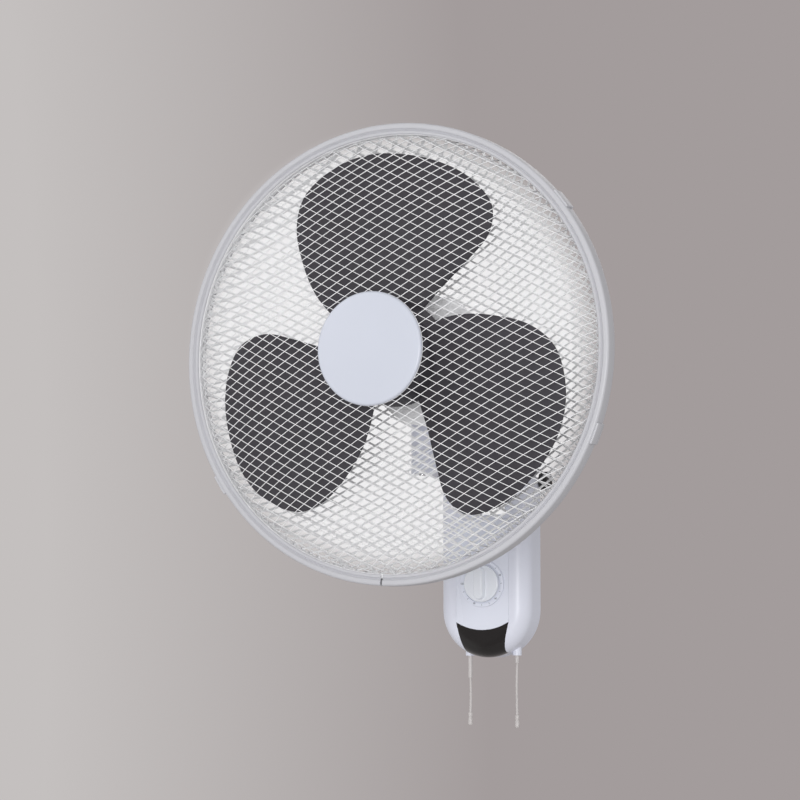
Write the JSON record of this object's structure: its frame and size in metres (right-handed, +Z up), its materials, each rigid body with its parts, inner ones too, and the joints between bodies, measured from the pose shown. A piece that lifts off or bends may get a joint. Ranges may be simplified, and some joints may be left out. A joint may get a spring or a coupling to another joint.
{
  "type": "wall mounted fan",
  "caption": "Wall mounted oscillating fan: domed mesh guard round broad blades, motor on a tilting neck, slim wall base with timer knob and pull cords.",
  "frame": {"origin": "centre of the wall plate screw holes, on the wall plane", "axes": "+Y into the wall, -Y the way the fan blows at rest, +X to the right as seen from the front, +Z up"},
  "size_m": [0.43, 0.3125, 0.5625],
  "materials": {
    "white_body": "moulded, satin gloss",
    "white_panel": "moulded, gloss",
    "black_gloss": "moulded, high gloss",
    "black_plastic": "moulded, fine grain",
    "dial_print": "printed ring",
    "grey_plastic": "moulded",
    "white_knob": "moulded, gloss",
    "cord_sleeve": "moulded",
    "pull_cord": "braided cord",
    "capacitor_case": "moulded",
    "bright_steel": "plated",
    "zinc_steel": "zinc plated sheet",
    "cast_alloy": "die cast",
    "sintered_bronze": "sintered",
    "core_steel": "stacked sheets",
    "copper_wire": "enamelled winding",
    "white_mesh": "powder coated mesh",
    "ring_plastic": "moulded, satin",
    "cap_plastic": "moulded, satin",
    "blade_plastic": "moulded, satin"
  },
  "bodies": {
    "base": {"wall_plate": "zinc_steel", "rear_casing": "white_body", "front_casing": "white_body", "front_panel": "white_panel", "front_nose": "black_gloss", "dial_ring": "dial_print", "timer_switch": "grey_plastic", "lock_screw": "bright_steel", "casing_screws": "bright_steel", "pull_switch_left": "grey_plastic", "pull_switch_right": "grey_plastic", "cord_guides": "white_body", "terminal_block": "grey_plastic", "run_capacitor": "capacitor_case", "cable_gland": "white_body", "tilt_bolt": "bright_steel", "tilt_nut": "bright_steel", "tilt_washers": "bright_steel"},
    "timer_control": {"timer_shaft": "bright_steel", "timer_knob": "white_knob"},
    "tilt_lock": {"tilt_knob": "black_plastic"},
    "pull_left": {"pull_rod_left": "cord_sleeve", "pull_cord_left": "pull_cord", "cord_tip_left": "cord_sleeve"},
    "pull_right": {"pull_rod_right": "cord_sleeve", "pull_cord_right": "pull_cord", "cord_tip_right": "cord_sleeve"},
    "neck": {"neck_housing": "white_body", "neck_cover": "white_body", "neck_screws": "bright_steel", "swivel_post": "bright_steel", "post_nut": "bright_steel", "post_clip": "bright_steel"},
    "crank": {"swing_crank": "grey_plastic"},
    "link": {"swing_link": "zinc_steel"},
    "head": {"swing_motor": "zinc_steel", "swivel_bracket": "cast_alloy", "motor_front_bell": "cast_alloy", "motor_rear_bell": "cast_alloy", "front_bearing": "sintered_bronze", "rear_bearing": "sintered_bronze", "stator_core": "core_steel", "stator_windings": "copper_wire", "motor_casing": "white_body", "motor_screws": "bright_steel", "front_guard": "white_mesh", "rear_guard": "white_mesh", "guard_nut": "grey_plastic", "trim_ring": "ring_plastic", "ring_screw": "bright_steel", "ring_clips": "ring_plastic", "hub_cap": "cap_plastic"},
    "rotor": {"fan_blade": "blade_plastic", "drive_pin": "bright_steel", "rotor_shaft": "bright_steel", "blade_nut": "black_plastic", "rotor_core": "core_steel"}
  },
  "joints": [
    {"name": "timer_turn", "type": "hinge", "parent": "base", "child": "timer_control", "pos_m": [0, -0.055, -0.0172], "axis": [0, 1, 0], "range_deg": [0, 270]},
    {"name": "tilt_lock_turn", "type": "hinge", "parent": "base", "child": "tilt_lock", "pos_m": [0.047, -0.017, 0.084], "axis": [1, 0, 0], "range_deg": [-180, 180]},
    {"name": "pull_left_slide", "type": "slide", "parent": "base", "child": "pull_left", "axis": [0, 0, -1], "range_m": [0, 0.01], "stiffness_N_per_m": 300, "springref_m": -0.003},
    {"name": "pull_right_slide", "type": "slide", "parent": "base", "child": "pull_right", "axis": [0, 0, -1], "range_m": [0, 0.01], "stiffness_N_per_m": 300, "springref_m": -0.003},
    {"name": "tilt", "type": "hinge", "parent": "base", "child": "neck", "pos_m": [0, -0.017, 0.084], "axis": [1, 0, 0], "range_deg": [-10, 25]},
    {"name": "swing", "type": "hinge", "parent": "neck", "child": "head", "pos_m": [0, -0.118, 0.15], "axis": [0, 0, 1], "range_deg": [-38, 38]},
    {"name": "crank_turn", "type": "hinge", "parent": "head", "child": "crank", "pos_m": [0, -0.078, 0.15], "axis": [0, 0, 1], "range_deg": [-54, 54]},
    {"name": "link_turn", "type": "hinge", "parent": "neck", "child": "link", "pos_m": [0.01793, -0.11957, 0.147], "axis": [0, 0, 1], "range_deg": [-37, 37]},
    {"name": "blade_spin", "type": "hinge", "parent": "head", "child": "rotor", "pos_m": [0, -0.252, 0.19], "axis": [0, -1, 0], "continuous": true}
  ],
  "couplings": [
    {"joint": "crank_turn", "follows": "swing", "ratio": -1.4},
    {"joint": "link_turn", "follows": "swing", "ratio": 0.956}
  ]
}
